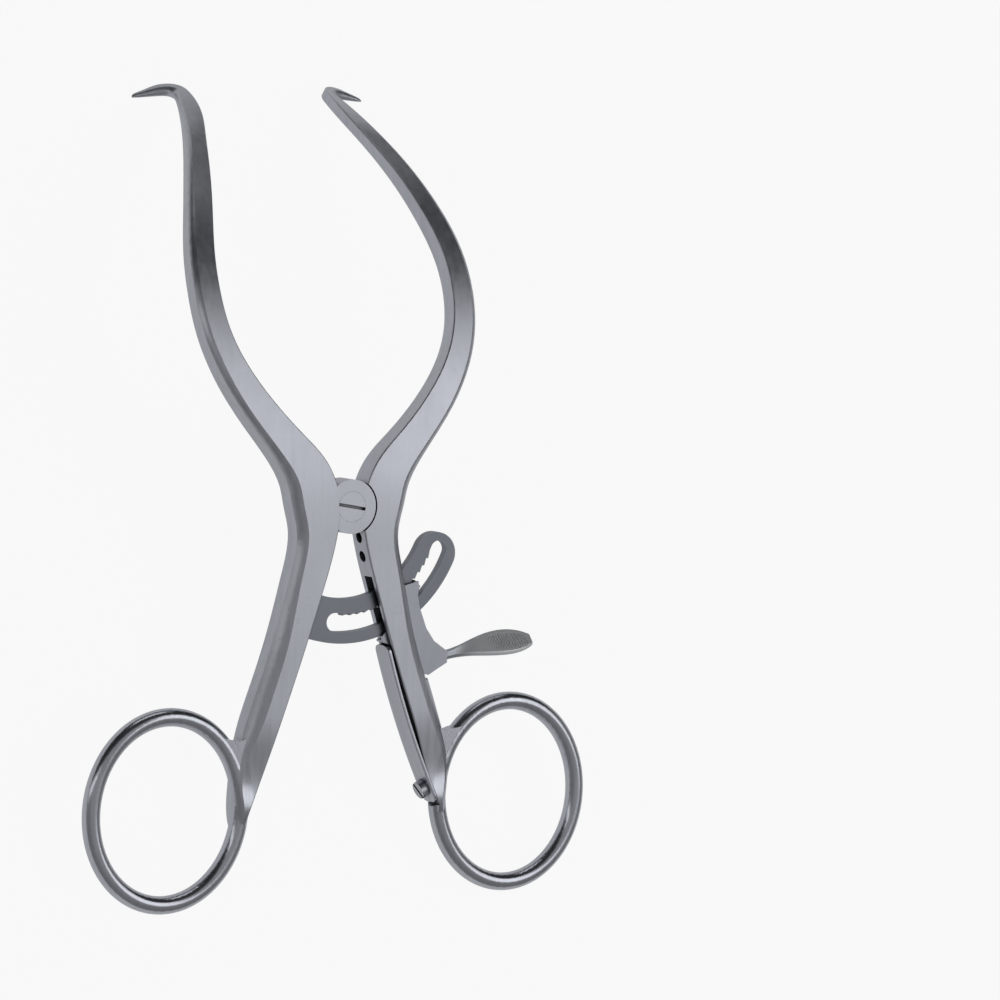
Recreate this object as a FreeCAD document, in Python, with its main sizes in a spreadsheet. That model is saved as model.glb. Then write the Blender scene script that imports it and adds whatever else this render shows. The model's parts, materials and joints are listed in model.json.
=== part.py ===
import FreeCAD, Part, Sketcher
import math
import os

# Self retaining retractor: two crossed arms on a box joint, each forged in one
# piece with its finger ring and its sharp prong, a curved ratchet rack on the
# left arm and a sprung release lever in the right arm.
# Design frame: the pivot axis is Z, the front of the instrument faces +Z, the
# prongs are towards +Y and the rings towards -Y. The lap of the box joint is
# at z = 0. The whole instrument is then tilted, so that it lies on its rings
# and its prong tips, with the origin at the back face of the joint.

doc = FreeCAD.newDocument("retractor")
sheet = doc.addObject("Spreadsheet::Sheet", "Sizes")

# Driving dimensions in millimetres and degrees
SIZES = [
    ("plate", 5.8, "thickness of both arms at the joint and along the shank"),
    ("disc_radius", 5.7, "half-thickness disc of each arm at the joint"),
    ("recess_gap", 0.35, "gap between a disc and the recess it turns in"),
    ("lap_gap", 0.04, "running gap between the two discs"),
    ("disc_step", 0.02, "how far a disc's face lies under its arm's face"),
    ("running_gap", 0.05, "clearance of every pin or screw that something turns on"),
    ("press_gap", 0.01, "clearance of a seat that stays put"),
    ("pin_gap", 0.03, "clearance of the lever pin in the right arm"),
    ("pivot_radius", 2.0, "shank of the pivot screw"),
    ("pivot_head_radius", 3.2, "head of the pivot screw"),
    ("pivot_head_deep", 1.6, "thickness of that head"),
    ("slot_width", 0.7, "screwdriver slots"),
    ("slot_deep", 0.8, "depth of the pivot screw's slot"),
    ("slot_turn", -10.0, "turn of the pivot screw's slot"),
    ("ring_x", 41.2, "centre of a finger ring from the middle plane"),
    ("ring_y", 62.2, "centre of a finger ring below the pivot"),
    ("ring_half_width", 17.3, "half width of the ring's centre line"),
    ("ring_half_length", 19.5, "half length of the ring's centre line"),
    ("ring_bar", 1.9, "radius of the ring's round bar"),
    ("ring_lean", 3.0, "outward lean of a ring's long axis"),
    ("edge_round", 0.4, "rounding of an arm's back edges"),
    ("edge_crisp", 0.3, "rounding of an arm's inner front edge"),
    ("web_thick", 3.6, "thickness of the web between shank and ring"),
    ("bend_start", 4.0, "height over the pivot where the arm starts to bend back"),
    ("bend_change", 40.0, "height where the bend gets tighter"),
    ("bend_radius_low", 120.0, "bend radius of the arm's lower half"),
    ("bend_radius_high", 78.0, "bend radius of the arm's upper half"),
    ("prong_radius", 3.6, "bend radius of the hook's centre line"),
    ("prong_turn", 96.0, "turn of the hook's bend"),
    ("prong_length", 6.8, "length of the pointed end after the bend"),
    ("prong_curl", 15.0, "further turn along the pointed end"),
    ("prong_lean", 13.0, "backward lean of the plane of the hook"),
    ("rack_in", 19.4, "inner edge of the rack, from the pivot axis"),
    ("rack_valley", 22.5, "bottom of the teeth"),
    ("rack_tip", 23.0, "tips of the teeth"),
    ("rack_slot_out", 26.4, "outer edge of the rack's slot"),
    ("rack_out", 28.9, "outer edge of the rack"),
    ("rack_thick", 2.0, "thickness of the rack"),
    ("rack_root", -31.0, "angle where the rack ends inside the left arm"),
    ("rack_slot_start", -6.0, "angle of the slot's left end centre"),
    ("rack_slot_end", 66.5, "angle of the slot's right end centre"),
    ("rack_end", 75.0, "angle of the rack's free end"),
    ("rack_end_round", 4.5, "rounding of the free end's corners"),
    ("tooth_pitch", 4.4, "angle from one tooth to the next"),
    ("tooth_first", -2.0, "angle of the first tooth's steep face"),
    ("tooth_count", 15.0, "number of teeth"),
    ("tooth_root", 0.4, "how far a tooth is rooted below the valley"),
    ("tooth_lift", 0.02, "height of a tooth's back end over the valley"),
    ("tooth_crest", 0.06, "share of the pitch from the steep face to the tip"),
    ("tooth_back", 0.98, "share of the pitch that a tooth takes up"),
    ("rivet_radius", 0.9, "two flush rivets that hold the rack"),
    ("rivet_angle", -28.0, "angle of both rivets"),
    ("rivet_in", 21.4, "inner rivet from the pivot axis"),
    ("rivet_out", 26.6, "outer rivet from the pivot axis"),
    ("pin_reach", 24.7, "lever pin from the pivot axis"),
    ("pin_angle", 27.5, "angle of the lever pin"),
    ("pin_radius", 1.0, "radius of the lever pin"),
    ("channel_front", 1.95, "front wall of the channel in the right arm"),
    ("channel_back", -1.2, "back wall of the channel in the right arm"),
    ("channel_long", 25.5, "length of the channel along the arm"),
    ("channel_wide", 16.0, "width of the channel's cut, wider than the arm"),
    ("channel_rise", 1.9, "how far the channel starts above the arm's upper station"),
    ("cheek_back", 1.05, "back face of the lever's thin cheek"),
    ("lever_front", 1.85, "front face of the lever"),
    ("lever_back", -1.0, "back face of the lever's thick parts"),
    ("lever_room", 0.9, "gap between the rack's outer edge and the lever's thick parts"),
    ("mark_upper", 7.3, "upper blind mark below the pivot"),
    ("mark_lower", 11.2, "lower blind mark below the pivot"),
    ("drill_radius", 1.2, "the two blind marks above the channel"),
    ("drill_deep", 1.6, "depth of those marks"),
    ("spring_thick", 0.9, "thickness of the leaf spring"),
    ("spring_wide", 5.5, "width of the leaf spring"),
    ("spring_seat", 7.0, "straight seated length of the leaf spring"),
    ("spring_free", 29.2, "free length of the leaf spring"),
    ("spring_bow", 190.0, "radius of the free length's bow"),
    ("spring_x", 21.55, "spring screw's place on the seat"),
    ("spring_y", 60.0, "spring screw's place below the pivot"),
    ("spring_angle", 24.4, "angle of the seat from the vertical"),
    ("spring_round", 1.6, "rounding of the spring's corners"),
    ("seat_room", 6.0, "reach of the cut that makes the spring's seat"),
    ("seat_above", 1.5, "length of the seat above the spring's straight end"),
    ("seat_below", 0.8, "length of the seat below that end"),
    ("screw_head_radius", 1.9, "head of the spring screw"),
    ("screw_head_deep", 1.6, "height of that head"),
    ("screw_radius", 0.9, "thread of the spring screw"),
    ("screw_long", 3.0, "length of the thread below the spring"),
    ("screw_slot_deep", 0.5, "depth of the spring screw's slot"),
    ("screw_slot_turn", 35.0, "turn of the spring screw's slot"),
]

# Stations along an arm's centre line, from inside the ring to the hook:
# name, x, y, width, thickness, bevel across and bevel deep
ARM_STATIONS = [
    ("root", 24.6, -66.5, 2.6, 2.6, 0.6, 0.6),
    ("heel", 23.4, -58.5, 5.0, 4.4, 1.4, 1.2),
    ("neck", 21.9, -52.3, 6.5, 4.8, 1.8, 1.1),
    ("low", 20.0, -46.0, 6.9, 5.8, 2.8, 2.0),
    ("shank", 17.85, -40.0, 7.0, 5.8, 3.0, 2.0),
    ("middle", 13.65, -28.0, 7.1, 5.8, 2.8, 2.0),
    ("upper", 9.9, -15.5, 7.8, 5.8, 2.0, 1.6),
    ("waist", 7.75, -5.5, 9.0, 5.8, 2.0, 1.6),
    ("hip", 8.1, 0.5, 10.6, 5.8, 2.0, 1.6),
    ("shoulder", 10.2, 6.8, 9.9, 5.7, 2.0, 1.6),
    ("start", 14.15, 12.0, 8.2, 5.5, 1.6, 1.4),
    ("rise", 21.04, 20.0, 6.9, 5.2, 1.2, 1.1),
    ("swell", 26.47, 28.0, 6.25, 4.85, 1.2, 1.0),
    ("bow", 29.7, 36.0, 5.85, 4.5, 1.2, 1.0),
    ("wide", 30.75, 44.0, 5.6, 4.35, 1.1, 1.0),
    ("back", 30.21, 52.0, 5.5, 4.15, 1.1, 1.0),
    ("draw", 28.11, 60.0, 5.35, 3.8, 1.1, 0.9),
    ("close", 25.2, 68.0, 5.0, 3.3, 1.0, 0.9),
    ("thin", 21.64, 76.0, 4.5, 2.75, 0.9, 0.8),
    ("tip", 18.3, 84.1, 3.1, 2.3, 0.8, 0.7),
]

# Sections of the hook: share of the bend or of the point, width, thickness
HOOK_BEND = [("bend_a", 0.33, 2.75, 2.2), ("bend_b", 0.66, 2.45, 2.1), ("bend_c", 1.0, 2.2, 1.95)]
HOOK_POINT = [("point_a", 0.35, 1.75, 1.6), ("point_b", 0.7, 1.15, 1.1), ("point_c", 1.0, 0.3, 0.3)]

# Outline of the release lever in the design frame, from the nose downwards
LEVER_POINTS = [
    (13.9, -17.0), (17.2, -16.2), (17.1, -19.3), (17.5, -21.5), (19.3, -26.2), (21.3, -29.0),
    (24.6, -31.3), (24.6, -33.7), (22.2, -35.0), (20.1, -36.2), (17.4, -35.4), (13.6, -31.6),
    (12.2, -31.0), (11.1, -31.2), (10.5, -29.4), (8.9, -28.9), (8.6, -27.6), (9.5, -26.5),
    (9.3, -23.0), (9.6, -20.6),
]

# Outline of the nose that drops between the teeth
NOSE_POINTS = [(16.0, -17.4), (16.7, -16.0), (18.1, -17.3), (17.6, -18.3), (16.9, -18.4)]

# Outline of the web between shank and ring
WEB_POINTS = [
    (21.5, -46.2), (23.6, -47.7), (25.0, -48.5), (27.2, -47.8), (29.99, -47.19), (28.26, -49.07),
    (26.97, -50.92), (25.73, -53.24), (24.61, -56.39), (24.05, -59.4), (22.8, -59.4), (21.6, -55.0),
    (20.9, -50.0),
]

# Sections of the finger tab: x, y, z, apparent width, thickness, tilt in degrees
TAB_STATIONS = [
    ("tab_root", 23.4, -32.5, 0.5, 2.0, 2.2, 0.0),
    ("tab_neck", 26.0, -32.0, 0.7, 2.1, 1.7, 8.0),
    ("tab_flare", 29.3, -31.2, 1.0, 2.9, 1.35, 24.0),
    ("tab_palm", 33.4, -30.5, 1.2, 4.7, 1.2, 38.0),
    ("tab_wide", 38.4, -30.0, 1.3, 6.1, 1.15, 43.0),
    ("tab_end", 42.6, -29.8, 1.3, 5.2, 1.1, 43.0),
    ("tab_tip", 45.6, -29.7, 1.3, 2.6, 0.9, 43.0),
]


def fill_sheet():
    row = 1
    for alias, value, words in SIZES:
        put(row, alias, value, words)
        row += 1
    for station in ARM_STATIONS:
        names = ("x", "y", "wide", "thick", "bevel_wide", "bevel_deep")
        for part, value in zip(names, station[1:]):
            put(row, "arm_" + station[0] + "_" + part, value, "arm station " + station[0])
            row += 1
    for station in HOOK_BEND + HOOK_POINT:
        for part, value in zip(("share", "wide", "thick"), station[1:]):
            put(row, "hook_" + station[0] + "_" + part, value, "hook section " + station[0])
            row += 1
    for station in TAB_STATIONS:
        for part, value in zip(("x", "y", "z", "wide", "thick", "tilt"), station[1:]):
            put(row, station[0] + "_" + part, value, "finger tab section")
            row += 1
    for stem, points in (("lever", LEVER_POINTS), ("nose", NOSE_POINTS), ("web", WEB_POINTS)):
        for count, (x, y) in enumerate(points):
            put(row, "%s_corner%d_across" % (stem, count), x, stem + " outline")
            put(row + 1, "%s_corner%d_along" % (stem, count), y, stem + " outline")
            row += 2
    doc.recompute()


def put(row, alias, value, words):
    sheet.set("A%d" % row, words)
    sheet.set("B%d" % row, str(value))
    sheet.setAlias("B%d" % row, alias)


def size(alias):
    return float(sheet.get(alias))


def vec(x, y, z=0.0):
    return FreeCAD.Vector(x, y, z)


def polar(reach, degrees, z=0.0):
    """A point at an angle from -Y towards +X."""
    turn = math.radians(degrees)
    return vec(reach * math.sin(turn), -reach * math.cos(turn), z)


fill_sheet()


# Solids made of primitives, each bound to the sheet

def bind(thing, links):
    for name, words in links.items():
        thing.setExpression(name, words)


def cylinder(name, radius, low, high, x_words=None, y_words=None):
    """An upright cylinder between two heights given as sheet formulas."""
    thing = doc.addObject("Part::Cylinder", name)
    bind(thing, {"Radius": radius, "Height": "(%s) - (%s)" % (high, low), "Placement.Base.z": low})
    if x_words:
        bind(thing, {"Placement.Base.x": x_words, "Placement.Base.y": y_words})
    return thing


def box(name, long, wide, tall):
    """A box whose three sizes are sheet formulas. Its caller places it."""
    thing = doc.addObject("Part::Box", name)
    bind(thing, {"Length": long, "Width": wide, "Height": tall})
    return thing


def fused(name, pieces):
    thing = doc.addObject("Part::MultiFuse", name)
    thing.Shapes = pieces
    return thing


def joined(name, pieces):
    """The first piece with the others forged on, as one solid."""
    doc.recompute()
    thing = doc.addObject("Part::Feature", name)
    thing.Shape = pieces[0].Shape.fuse([piece.Shape for piece in pieces[1:]]).Solids[0]
    return thing


def cut(name, base, tool):
    thing = doc.addObject("Part::Cut", name)
    thing.Base = base
    thing.Tool = tool
    return thing


def carved(name, base, tool):
    """A lofted body less its tools, as one solid. Both come from bound objects."""
    doc.recompute()
    thing = doc.addObject("Part::Feature", name)
    thing.Shape = base.Shape.cut(tool.Shape).Solids[0]
    return thing


def mirrored(name, source):
    thing = doc.addObject("Part::Mirroring", name)
    thing.Source = source
    thing.Normal = vec(1, 0, 0)
    return thing


# The forged blank of an arm: one loft from the ring's bar to the prong's point

def rounded_section(centre, across, front, wide, thick, bevel_wide, bevel_deep):
    """A closed wire: flat front, soft bevel on the outer side, rounded back
    corners and a crisp inner edge. across points outwards, front to the front."""
    a = wide / 2
    b = thick / 2
    k = min(size("edge_crisp"), 0.2 * min(wide, thick))
    r = min(size("edge_round"), 0.3 * min(wide, thick))
    bevel_wide = min(bevel_wide, 0.45 * wide)
    bevel_deep = min(bevel_deep, 0.45 * thick)

    def at(p, q):
        return centre + across * p + front * q

    def corner(start, middle, end):
        return Part.Arc(at(*start), at(*middle), at(*end)).toShape()

    def side(start, end):
        return Part.LineSegment(at(*start), at(*end)).toShape()

    s = 1 - math.sqrt(0.5)
    soft = 0.40
    edges = [
        side((-a + k, b), (a - bevel_wide, b)),
        corner((a - bevel_wide, b), (a - soft * bevel_wide, b - soft * bevel_deep), (a, b - bevel_deep)),
        side((a, b - bevel_deep), (a, -b + r)),
        corner((a, -b + r), (a - s * r, -b + s * r), (a - r, -b)),
        side((a - r, -b), (-a + r, -b)),
        corner((-a + r, -b), (-a + s * r, -b + s * r), (-a, -b + r)),
        side((-a, -b + r), (-a, b - k)),
        corner((-a, b - k), (-a + s * k, b - s * k), (-a + k, b)),
    ]
    return Part.Wire(edges)


def bend_at(y):
    """Depth and bend angle of the arm's middle surface at a height over the pivot."""
    start = size("bend_start")
    change = size("bend_change")
    low = size("bend_radius_low")
    high = size("bend_radius_high")
    if y <= start:
        return 0.0, 0.0
    turn = math.asin(min(1.0, (min(y, change) - start) / low))
    depth = -low * (1 - math.cos(turn))
    if y > change:
        further = math.asin(min(0.999, math.sin(turn) + (y - change) / high))
        depth -= high * (math.cos(turn) - math.cos(further))
        turn = further
    return depth, turn


def arm_blank_shape():
    points = [vec(size("arm_%s_x" % s[0]), size("arm_%s_y" % s[0])) for s in ARM_STATIONS]
    plan = Part.BSplineCurve()
    plan.interpolate(points)
    wires = []
    for station, point in zip(ARM_STATIONS, points):
        heading = plan.tangent(plan.parameter(point))[0]
        depth, turn = bend_at(point.y)
        along = vec(heading.x / max(heading.y, 0.1), math.cos(turn), -math.sin(turn))
        along.x *= math.cos(turn)
        along.normalize()
        front = vec(0, math.sin(turn), math.cos(turn))
        across = along.cross(front)
        centre = vec(point.x, point.y, depth)
        values = [size("arm_%s_%s" % (station[0], k)) for k in ("wide", "thick", "bevel_wide", "bevel_deep")]
        if station[0] == "tip":
            lean = math.radians(size("prong_lean"))
            outwards = vec(1, 0, 0) * math.cos(lean) - front * math.sin(lean)
            outwards = outwards - along * outwards.dot(along)
            outwards.normalize()
            across = outwards
            front = across.cross(along)
        wires.append(rounded_section(centre, across, front, *values))
    radius = size("prong_radius")
    whole = math.radians(size("prong_turn"))
    for name, share, wide, thick in HOOK_BEND:
        turn = whole * size("hook_%s_share" % name)
        spot = centre + along * (radius * math.sin(turn)) + outwards * (radius * (1 - math.cos(turn)))
        across = outwards * math.cos(turn) - along * math.sin(turn)
        wide = size("hook_%s_wide" % name)
        thick = size("hook_%s_thick" % name)
        wires.append(rounded_section(spot, across, front, wide, thick, 0.4 * wide, 0.4 * thick))
    length = size("prong_length")
    curl = math.radians(size("prong_curl"))
    for name, share, wide, thick in HOOK_POINT:
        part = size("hook_%s_share" % name)
        middle = whole + curl * part / 2
        heading = along * math.cos(middle) + outwards * math.sin(middle)
        turn = whole + curl * part
        across = outwards * math.cos(turn) - along * math.sin(turn)
        wide = size("hook_%s_wide" % name)
        thick = size("hook_%s_thick" % name)
        place = spot + heading * (length * part)
        wires.append(rounded_section(place, across, front, wide, thick, 0.4 * wide, 0.4 * thick))
    return Part.makeLoft(wires, True, False), centre, along, outwards


blank = doc.addObject("Part::Feature", "arm_blank")
blank.Shape, hook_start, hook_along, hook_out = arm_blank_shape()
print("arm blank", round(blank.Shape.Volume, 1), blank.Shape.isValid())

# Finger ring: a round bar swept round an oval
oval = doc.addObject("Part::Ellipse", "ring_oval")
bind(oval, {"MajorRadius": "Sizes.ring_half_length", "MinorRadius": "Sizes.ring_half_width"})
bar = doc.addObject("Part::Circle", "ring_section")
bind(bar, {"Radius": "Sizes.ring_bar", "Placement.Base.x": "Sizes.ring_half_length"})
bar.Placement.Rotation = FreeCAD.Rotation(vec(1, 0, 0), 90)
ring_sweep = doc.addObject("Part::Sweep", "ring_sweep")
ring_sweep.Sections = [bar]
ring_sweep.Spine = (oval, ["Edge1"])
ring_sweep.Solid = True
ring_sweep.Frenet = True
doc.recompute()
ring = doc.addObject("Part::Feature", "finger_ring")
ring.Shape = ring_sweep.Shape
ring_turn = FreeCAD.Rotation(vec(0, 0, 1), 90 + size("ring_lean"))
ring.Placement = FreeCAD.Placement(vec(size("ring_x"), -size("ring_y")), ring_turn)
print("finger ring", round(ring.Shape.Volume, 1), ring.Shape.isValid())


def outline_sketch(name, stem, count):
    """A closed polygon whose corners are bound to the sheet."""
    sketch = doc.addObject("Sketcher::SketchObject", name)
    corners = []
    for k in range(count):
        corners.append((size("%s_corner%d_across" % (stem, k)), size("%s_corner%d_along" % (stem, k))))
    for k in range(count):
        x0, y0 = corners[k]
        x1, y1 = corners[(k + 1) % count]
        sketch.addGeometry(Part.LineSegment(vec(x0, y0), vec(x1, y1)), False)
    for k in range(count):
        sketch.addConstraint(Sketcher.Constraint("Coincident", k, 2, (k + 1) % count, 1))
    for k in range(count):
        x, y = corners[k]
        for kind, value, word in (("DistanceX", x, "across"), ("DistanceY", y, "along")):
            place = sketch.addConstraint(Sketcher.Constraint(kind, -1, 1, k, 1, value))
            sketch.setExpression("Constraints[%d]" % place, "Sizes.%s_corner%d_%s" % (stem, k, word))
    return sketch


def extruded(name, sketch, low, high):
    """A sketch pulled up between two heights given as sheet formulas."""
    thing = doc.addObject("Part::Extrusion", name)
    thing.Base = sketch
    thing.DirMode = "Custom"
    thing.Dir = vec(0, 0, 1)
    thing.Solid = True
    bind(thing, {"LengthFwd": "(%s) - (%s)" % (high, low), "Placement.Base.z": low})
    return thing


web_sketch = outline_sketch("web_outline", "web", len(WEB_POINTS))
web = extruded("ring_web", web_sketch, "-Sizes.web_thick / 2", "Sizes.web_thick / 2")

HALF = "Sizes.plate / 2"
FACE = "Sizes.plate / 2 - Sizes.disc_step"
OVER = "Sizes.plate"
LAP = "Sizes.lap_gap / 2"
RECESS = "Sizes.disc_radius + Sizes.recess_gap"

# Right arm: its half of the joint is at the back
right_recess = cylinder("right_recess", RECESS, "-" + LAP, OVER)
right_relieved = cut("right_relieved", blank, right_recess)
right_disc = cylinder("right_disc", "Sizes.disc_radius", "-(%s)" % FACE, "-" + LAP)
right_body = joined("right_body", [right_relieved, right_disc, ring, web])

arm_turn = math.degrees(math.atan2(
    size("arm_shank_x") - size("arm_upper_x"), size("arm_upper_y") - size("arm_shank_y")))
channel_top = vec(size("arm_upper_x"), size("arm_upper_y") + size("channel_rise"))
channel = box("channel", "Sizes.channel_long", "Sizes.channel_wide",
              "Sizes.channel_front - Sizes.channel_back")
down = vec(math.sin(math.radians(arm_turn)), -math.cos(math.radians(arm_turn)))
side = vec(down.y, -down.x)
corner = channel_top + side * (size("channel_wide") / 2)
channel.Placement = FreeCAD.Placement(
    vec(corner.x, corner.y, size("channel_back")), FreeCAD.Rotation(vec(0, 0, 1), arm_turn - 90))

pin_x = "Sizes.pin_reach * sin(Sizes.pin_angle * 1 deg)"
pin_y = "-Sizes.pin_reach * cos(Sizes.pin_angle * 1 deg)"
pin_hole = cylinder("pin_hole", "Sizes.pin_radius + Sizes.pin_gap", "-" + OVER, OVER, pin_x, pin_y)
screw_hole = cylinder("pivot_thread_hole", "Sizes.pivot_radius", "-" + OVER, OVER)

# Seat of the leaf spring on the inner side of the right arm
seat_turn = size("spring_angle")
seat_down = vec(math.sin(math.radians(seat_turn)), -math.cos(math.radians(seat_turn)))
seat_in = vec(-math.cos(math.radians(seat_turn)), -math.sin(math.radians(seat_turn)))
seat_spot = vec(size("spring_x"), -size("spring_y"))
seat_base = seat_spot - seat_down * (size("spring_seat") / 2 + size("seat_above"))
seat_cut = box("spring_seat_cut", "Sizes.spring_seat + Sizes.seat_above + Sizes.seat_below", "Sizes.seat_room",
               "2 * Sizes.plate")
seat_cut.Placement = FreeCAD.Placement(
    seat_base + seat_in * (size("seat_room") - size("press_gap")) - vec(0, 0, size("plate")),
    FreeCAD.Rotation(vec(0, 0, 1), seat_turn - 90))
seat_frame = FreeCAD.Rotation(seat_down, vec(0, 0, 1), seat_in, "ZXY")
seat_hole = doc.addObject("Part::Cylinder", "spring_thread_hole")
bind(seat_hole, {"Radius": "Sizes.screw_radius", "Height": "Sizes.screw_long"})
seat_hole.Placement = FreeCAD.Placement(seat_spot - seat_in * size("screw_long"), seat_frame)

# Two blind drilled marks above the channel, on the inner side
marks = []
arm_slope = math.tan(math.radians(arm_turn))
for word in ("mark_upper", "mark_lower"):
    drop = size(word)
    mark = doc.addObject("Part::Cylinder", "drill_" + word)
    bind(mark, {"Radius": "Sizes.drill_radius", "Height": "2 * Sizes.drill_deep"})
    inner = size("arm_waist_x") - size("arm_waist_wide") / 2 + (drop + size("arm_waist_y")) * arm_slope
    mark.Placement = FreeCAD.Placement(
        vec(inner - size("drill_deep"), -drop, 0), FreeCAD.Rotation(vec(0, 0, 1), seat_in * -1))
    marks.append(mark)

right_tools = fused("right_tools", [channel, pin_hole, screw_hole, seat_cut, seat_hole] + marks)
right_arm = carved("right_arm", right_body, right_tools)

# Left arm: the same forging with its half of the joint in front, mirrored
left_recess = cylinder("left_recess", RECESS, "-" + OVER, LAP)
left_relieved = cut("left_relieved", blank, left_recess)
left_disc = cylinder("left_disc", "Sizes.disc_radius", LAP, FACE)
left_forging = joined("left_forging", [left_relieved, left_disc, ring, web])
left_body = mirrored("left_body", left_forging)
left_bore = cylinder("left_bore", "Sizes.pivot_radius + Sizes.running_gap", "-" + OVER, OVER)
left_counterbore = cylinder("left_counterbore", "Sizes.pivot_head_radius + Sizes.running_gap",
                            FACE + " - Sizes.pivot_head_deep - Sizes.running_gap", OVER)
rack_pocket_out = doc.addObject("Part::Cylinder", "rack_pocket_out")
bind(rack_pocket_out, {"Radius": "Sizes.rack_out", "Height": "Sizes.rack_thick",
                       "Angle": "0 - Sizes.rack_root + 10",
                       "Placement.Base.z": "-Sizes.rack_thick / 2"})
rack_pocket_out.Placement.Rotation = FreeCAD.Rotation(vec(0, 0, 1), size("rack_root") - 90)
rack_pocket_in = cylinder("rack_pocket_in", "Sizes.rack_in", "-" + OVER, OVER)
rack_pocket = cut("rack_pocket", rack_pocket_out, rack_pocket_in)
rivet_holes = []
for word in ("in", "out"):
    x_words = "Sizes.rivet_%s * sin(Sizes.rivet_angle * 1 deg)" % word
    y_words = "-Sizes.rivet_%s * cos(Sizes.rivet_angle * 1 deg)" % word
    rivet_holes.append(cylinder("rivet_hole_" + word, "Sizes.rivet_radius", "-" + OVER, OVER,
                                x_words, y_words))
left_tools = fused("left_tools", [left_bore, left_counterbore, rack_pocket] + rivet_holes)
left_arm = carved("left_arm", left_body, left_tools)

# Pivot screw: flush slotted head in front, shank threaded into the right arm
screw_head = cylinder("pivot_head", "Sizes.pivot_head_radius", FACE + " - Sizes.pivot_head_deep", FACE)
screw_shank = cylinder("pivot_shank", "Sizes.pivot_radius", "-(%s)" % FACE, FACE + " - Sizes.pivot_head_deep")
pivot_stock = fused("pivot_stock", [screw_head, screw_shank])
pivot_slot = box("pivot_slot", "4 * Sizes.pivot_head_radius", "Sizes.slot_width", "2 * Sizes.slot_deep")
slot_turn = FreeCAD.Rotation(vec(0, 0, 1), size("slot_turn"))
slot_reach = slot_turn.multVec(vec(-2 * size("pivot_head_radius"), -size("slot_width") / 2))
pivot_slot.Placement = FreeCAD.Placement(
    slot_reach + vec(0, 0, size("plate") / 2 - size("slot_deep")), slot_turn)
pivot_screw = cut("pivot_screw", pivot_stock, pivot_slot)

# Rivets of the rack, peened flush on both faces of the left arm
rivets = []
for word in ("in", "out"):
    x_words = "Sizes.rivet_%s * sin(Sizes.rivet_angle * 1 deg)" % word
    y_words = "-Sizes.rivet_%s * cos(Sizes.rivet_angle * 1 deg)" % word
    rivets.append(cylinder("rivet_" + word, "Sizes.rivet_radius", "-" + HALF, HALF, x_words, y_words))
rack_rivets = doc.addObject("Part::Compound", "rack_rivets")
rack_rivets.Links = rivets

# Lever pin, ground flush on both faces of the right arm
pin_stock = cylinder("pawl_pin_stock", "Sizes.pin_radius", "-" + HALF, HALF, pin_x, pin_y)
pawl_pin = doc.addObject("Part::Compound", "pawl_pin")
pawl_pin.Links = [pin_stock]

doc.recompute()

# Ratchet rack as a body: a slotted ring sector with saw teeth
def sector_sketch(body, name, inner, outer, first, last):
    """A sector of a ring about the pivot axis. Radii and angles are sheet
    formulas; the angles are counted from -Y towards +X."""
    sketch = body.newObject("Sketcher::SketchObject", name)
    plane = [f for f in body.Origin.OriginFeatures if f.Role == "XY_Plane"][0]
    sketch.AttachmentSupport = [(plane, "")]
    sketch.MapMode = "FlatFace"
    r0, r1, a0, a1 = [size(k) for k in (inner, outer, first, last)]
    begin = math.radians(a0 - 90)
    end = math.radians(a1 - 90)
    axis = vec(0, 0, 1)
    sketch.addGeometry(Part.ArcOfCircle(Part.Circle(vec(0, 0), axis, r0), begin, end), False)
    sketch.addGeometry(Part.ArcOfCircle(Part.Circle(vec(0, 0), axis, r1), begin, end), False)
    sketch.addGeometry(Part.LineSegment(polar(r0, a0), polar(r1, a0)), False)
    sketch.addGeometry(Part.LineSegment(polar(r0, a1), polar(r1, a1)), False)
    for arc in (0, 1):
        sketch.addConstraint(Sketcher.Constraint("Coincident", arc, 3, -1, 1))
        sketch.addConstraint(Sketcher.Constraint("Coincident", arc, 1, 2, 1 + arc))
        sketch.addConstraint(Sketcher.Constraint("Coincident", arc, 2, 3, 1 + arc))
    for arc, words in ((0, inner), (1, outer)):
        place = sketch.addConstraint(Sketcher.Constraint("Radius", arc, (r0, r1)[arc]))
        sketch.setExpression("Constraints[%d]" % place, "Sizes." + words)
    for line, words, value in ((2, first, a0), (3, last, a1)):
        sketch.addConstraint(Sketcher.Constraint("PointOnObject", -1, 1, line))
        place = sketch.addConstraint(Sketcher.Constraint("Angle", line, math.radians(value - 90)))
        sketch.setExpression("Constraints[%d]" % place, "(Sizes.%s - 90) * 1 deg" % words)
    return sketch


def padded(body, name, sketch, thick):
    pad = body.newObject("PartDesign::Pad", name)
    pad.Profile = sketch
    pad.Midplane = True
    pad.setExpression("Length", thick)
    return pad


rack = doc.addObject("PartDesign::Body", "rack_body")
rack_sketch = sector_sketch(rack, "rack_outline", "rack_in", "rack_out", "rack_root", "rack_end")
rack_plate = padded(rack, "rack_plate", rack_sketch, "Sizes.rack_thick")
doc.recompute()
ends = []
for count, edge in enumerate(rack_plate.Shape.Edges):
    middle = edge.CenterOfMass
    upright = abs(edge.BoundBox.ZLength - size("rack_thick")) < 0.01 and edge.BoundBox.XLength < 0.01
    if upright and middle.x > 0:
        ends.append("Edge%d" % (count + 1))
rack_rounds = rack.newObject("PartDesign::Fillet", "rack_end_rounds")
rack_rounds.Base = (rack_plate, ends)
rack_rounds.setExpression("Radius", "Sizes.rack_end_round")
slot_sketch = sector_sketch(rack, "slot_outline", "rack_valley", "rack_slot_out", "rack_slot_start",
                            "rack_slot_end")
rack_slot = rack.newObject("PartDesign::Pocket", "rack_slot")
rack_slot.Profile = slot_sketch
rack_slot.Type = 1
rack_slot.Midplane = True
doc.recompute()
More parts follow.
